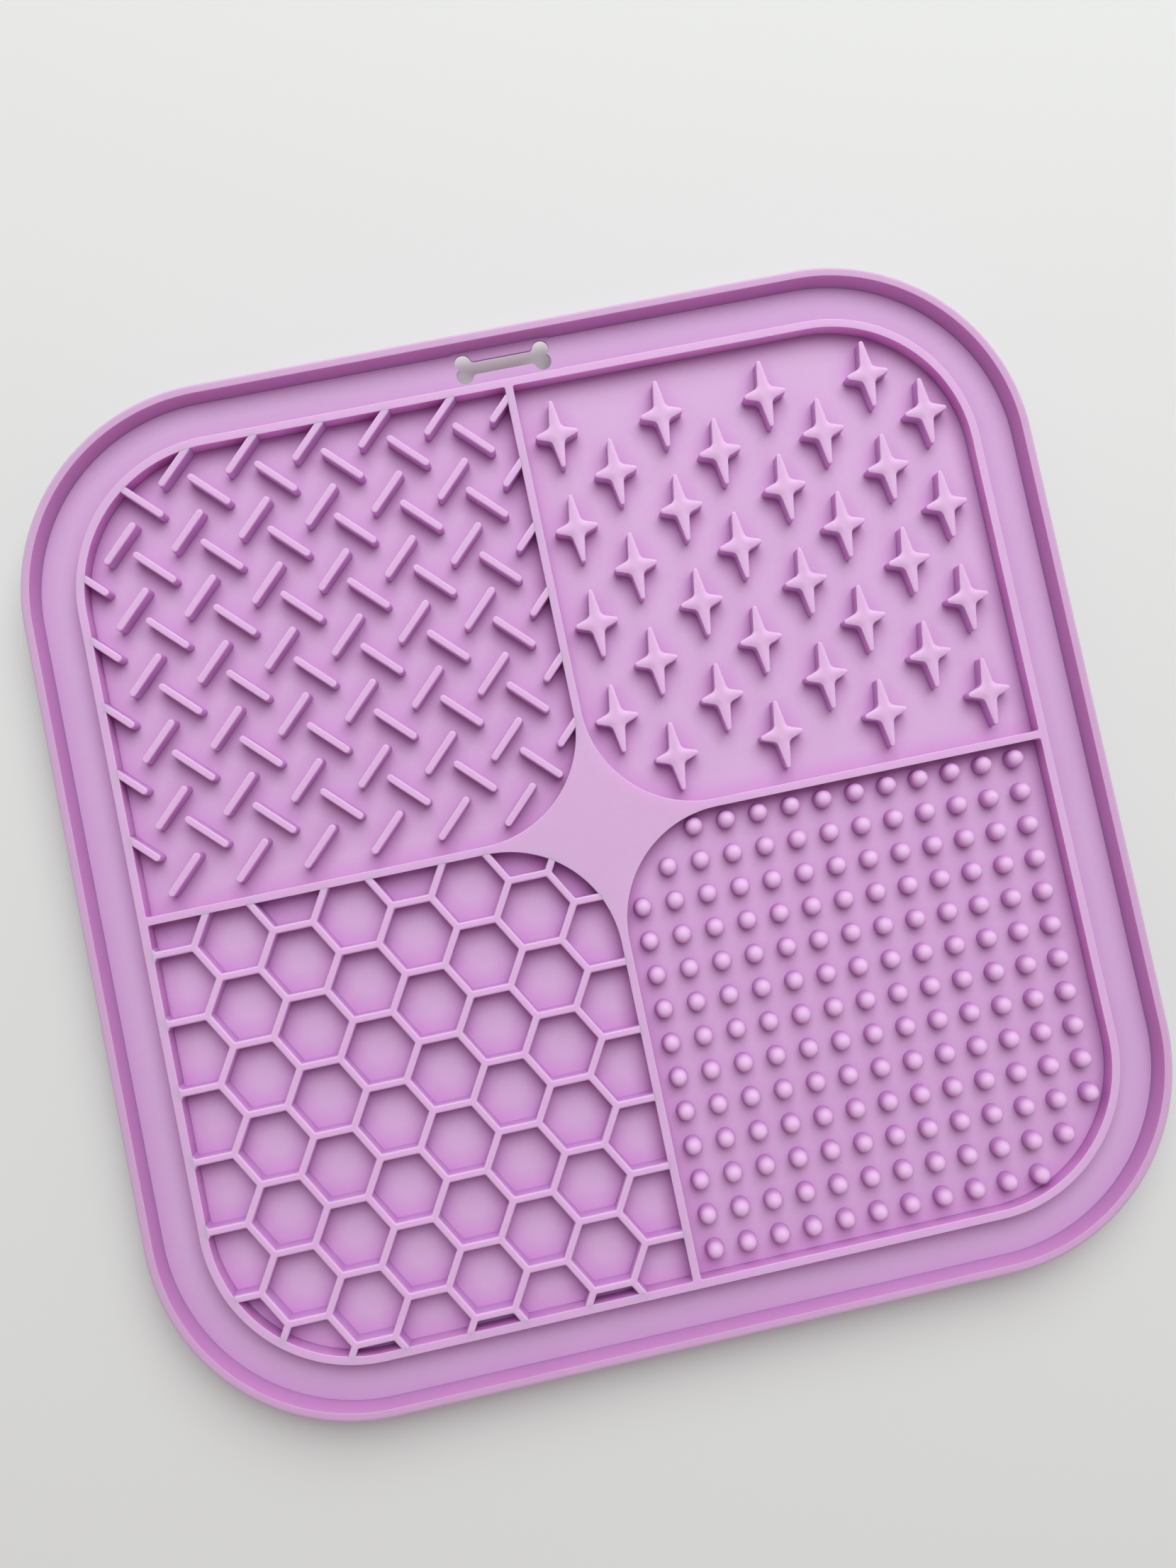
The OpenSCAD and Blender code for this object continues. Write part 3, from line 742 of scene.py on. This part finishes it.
def makeHoneycomb():
    shape = newShape()
    region = wallClip(-1, -1, honeycomb["cellDepth"])
    field = fieldLoop(-1, -1)
    pitch, reach = honeycomb["pitch"], honeycomb["reach"]
    radius = (pitch - honeycomb["ribWidth"]) / math.sqrt(3)
    loops = [clean(wallClip(-1, -1, honeycomb["frameDepth"]))]
    for i in range(-reach, reach):
        for j in range(-reach, reach):
            x = honeycomb["cellX"] + i * pitch * math.cos(math.radians(30))
            y = honeycomb["cellY"] + (j + i % 2 / 2) * pitch
            cell = clipLoop(arc(x, y, radius, 0, 300, 5), region)       # six corners
            if not cell:
                continue
            middles = [((a[0] + b[0]) / 2, (a[1] + b[1]) / 2) for a, b in zip(cell, cell[1:] + cell[:1])]
            if inside(cell + middles, [field]).any():
                loops.append(roundCorners(cell, honeycomb["corner"])[::-1])
    rounding = edgeRounding(mat["top"] - honeycomb["drop"], honeycomb["edge"], honeycomb["edgeRows"])
    addRaised(shape, loops, [(0, mat["foot"], 0)] + rounding)
    finishShape("honeycombRibs", shape, "siliconeNubs",
                "honeycomb_level", "honeycomb_rising", "honeycomb_falling")


makeHoneycomb()
print("honeycomb made")


# places of repeated nubs or cups, read from the loose parts of a CAD node
def islands(node, digits=3):
    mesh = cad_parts[node].data
    group = list(range(len(mesh.vertices)))

    def root(i):
        while group[i] != i:
            group[i] = group[group[i]]
            i = group[i]
        return i

    spots = {}
    for v in mesh.vertices:                 # joins points that lie in one place
        key = tuple(round(k / mm, digits) for k in v.co)
        group[root(v.index)] = root(spots.setdefault(key, v.index))
    for e in mesh.edges:
        group[root(e.vertices[0])] = root(e.vertices[1])
    boxes = {}
    for v in mesh.vertices:
        x, y, z = (k / mm for k in v.co)
        b = boxes.setdefault(root(v.index), [x, y, x, y])
        boxes[root(v.index)] = [min(b[0], x), min(b[1], y), max(b[2], x), max(b[3], y)]
    return sorted((round((b[0] + b[2]) / 2, digits), round((b[1] + b[3]) / 2, digits))
                  for b in boxes.values())


# star nubs
star = {
    "length": 13.4, "width": 8.4, "waistX": 1.26, "waistY": 1.38,
    "longTip": 0.45, "shortTip": 0.5, "tipSteps": 8, "fillet": 1.2, "filletSteps": 10,
    "edge": 0.16, "shoulderLean": 62, "draft": 0.04, "columns": 4,
    "crown": 0.26, "crownFall": 0.55, "crownCurve": 1.5, "crownSteps": 8,
    "crownEndX": 0.6, "crownEndY": 0.55,    # from the tips to the ends of the crown's ridges
}


def touchPoint(p, c, r, side):              # where the line from p touches a circle
    d = math.dist(p, c)
    u = direction(p, c)
    t = -side * math.asin(r / d)
    run = math.sqrt(d * d - r * r)
    return (p[0] + run * (u[0] * math.cos(t) - u[1] * math.sin(t)),
            p[1] + run * (u[0] * math.sin(t) + u[1] * math.cos(t)))


def bearing(a, b):
    return math.degrees(math.atan2(b[1] - a[1], b[0] - a[0])) % 360


def starLoop():
    longTip, shortTip = (0, star["length"] / 2 - star["longTip"]), (star["width"] / 2 - star["shortTip"], 0)
    waist = (star["waistX"], star["waistY"])
    longEnd = touchPoint(waist, longTip, star["longTip"], 1)
    shortEnd = touchPoint(waist, shortTip, star["shortTip"], -1)
    up, out = direction(waist, longEnd), direction(waist, shortEnd)
    half = math.acos(up[0] * out[0] + up[1] * out[1]) / 2
    run, r = star["fillet"] / math.tan(half), star["fillet"]
    m = direction((0, 0), (up[0] + out[0], up[1] + out[1]))
    centre = (waist[0] + m[0] * r / math.sin(half), waist[1] + m[1] * r / math.sin(half))
    outTouch = (waist[0] + out[0] * run, waist[1] + out[1] * run)
    upTouch = (waist[0] + up[0] * run, waist[1] + up[1] * run)
    quarter = arc(*shortTip, star["shortTip"], 0, bearing(shortTip, shortEnd), star["tipSteps"])
    quarter += arc(*centre, r, bearing(centre, outTouch), bearing(centre, upTouch), star["filletSteps"])
    quarter += arc(*longTip, star["longTip"], bearing(longTip, longEnd), 90, star["tipSteps"])
    return clean(allQuarters(quarter))


def makeStarColumn(name, node):
    shape, outline = newShape(), starLoop()
    shoulder, steps = mat["top"] - star["crown"], star["crownSteps"]
    profile = [(-star["draft"], mat["foot"], 0)]
    profile += [(inset, height, min(lean, star["shoulderLean"]))
                for inset, height, lean in edgeRounding(shoulder, star["edge"])]
    reachX, reachY = star["width"] / 2 - star["crownEndX"], star["length"] / 2 - star["crownEndY"]
    for x, y in islands(node):
        ridge = [((x, y, mat["top"]), (0, 0, 1))]
        for i in range(1, steps + 1):
            z = shoulder + star["crown"] * (1 - star["crownFall"] * (i / steps) ** star["crownCurve"])
            for sx, sy in ((reachX, 0), (-reachX, 0), (0, reachY), (0, -reachY)):
                ridge.append(((x + sx * i / steps, y + sy * i / steps, z), (0, 0, 1)))
        addRaised(shape, [[(px + x, py + y) for px, py in outline]], profile, ridge)
    finishShape(name, shape, "siliconeNubs", node)


for column in range(star["columns"]):
    makeStarColumn(f"starNubsA{column}", f"star_nubs_a_{column}")
    makeStarColumn(f"starNubsB{column}", f"star_nubs_b_{column}")
print("star nubs made")


# round nubs
domes = {"rows": 13, "flare": 0.05, "flareRise": 0.25, "steps": 28, "rings": 9}


def makeDomeRow(row):
    node = f"dome_row_{row}"
    shape = newShape()
    low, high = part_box(node)
    r, top = (high.y - low.y) / 2 / mm, high.z / mm
    spring = top - r                        # where the half ball begins
    foot, floor, wide = mat["foot"], mat["sheetTop"], r + domes["flare"]
    profile = [(0, foot, (0, -1)), (wide, foot, (1, 0)), (wide, floor, (1, 0)),
               (r, floor + domes["flareRise"], (1, 0))]
    for i in range(domes["rings"] + 1):
        t = math.radians(90 * i / domes["rings"])
        radius = 0 if i == domes["rings"] else r * math.cos(t)
        profile.append((radius, spring + r * math.sin(t), (math.cos(t), math.sin(t))))
    for x, y in islands(node):
        addLathe(shape, x, y, profile, domes["steps"])
    finishShape(f"domeRow{row}", shape, "siliconeDomes", node)


for row in range(domes["rows"]):
    makeDomeRow(row)
print("domes made")


# suction cups under the sheet
cups = {
    "rows": 7, "steps": 48, "rings": 10, "hollow": 1.7,
    "lipHeight": 0.4, "lipWidth": 0.4, "lipEdge": 0.1, "lipEase": 0.04, "lipGap": 0.08, "backEdge": 0.05,
    "neck": 3.2, "neckRise": 0.8, "neckEase": 0.25, "topRise": 0.01,
    # rows of the neck's fillets: beyond its radius, above the cup's back or the sheet, and normal
    "lowerFillet": ((0.04, -0.05, (0.8, 0.6)), (0, 0.15, (1, 0))),
    "upperFillet": ((0.02, -0.25, (1, -0.1)), (0.175, -0.075, (0.6, -0.8)), (0.5, 0, (0, -1))),
}


def capArc(mouth, rise, top, first, last, sign):    # rows along a ball's cap, from one radius to another
    ball = (mouth ** 2 + rise ** 2) / (2 * rise)
    rows = []
    for i in range(cups["rings"] + 1):
        radius = first + (last - first) * i / cups["rings"]
        drop = ball - math.sqrt(ball ** 2 - radius ** 2)
        rows.append((radius, top - drop, (sign * radius / ball, sign * (ball - drop) / ball)))
    return rows


def neckRows(backTop, height):              # from the cup's back up into the sheet
    rows = [(cups["neck"] + out, backTop + up, normal) for out, up, normal in cups["lowerFillet"]]
    rows += [(cups["neck"] + out, height + up, normal) for out, up, normal in cups["upperFillet"]]
    return rows + [(0, height + cups["topRise"], (0, 1))]


def makeCupRow(row):
    node = f"cup_row_{row}"
    shape = newShape()
    low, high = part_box(node)
    lip, height = (high.y - low.y) / 2 / mm, high.z / mm
    mouth, backTop = lip - cups["lipWidth"], height - cups["neckRise"]
    hollow, lipHeight, edge = cups["hollow"], cups["lipHeight"], cups["lipEdge"]
    profile = [(0, hollow, (0, -1))] + capArc(mouth, hollow, hollow, 0, mouth, -1)[1:]
    profile += [(mouth + cups["lipEase"], 0, (0, -1)), (lip - edge, 0, (0, -1)), (lip, edge, (1, 0)),
                (lip, lipHeight - cups["lipGap"], (1, 0))]
    backEnd = cups["neck"] + cups["neckEase"]
    profile += capArc(lip, backTop - lipHeight, backTop, lip - cups["backEdge"], backEnd, 1)
    profile += neckRows(backTop, height)
    for x, y in islands(node):
        addLathe(shape, x, y, profile, cups["steps"])
    finishShape(f"cupRow{row}", shape, "siliconeFloor", node)


for row in range(cups["rows"]):
    makeCupRow(row)
print("suction cups made")
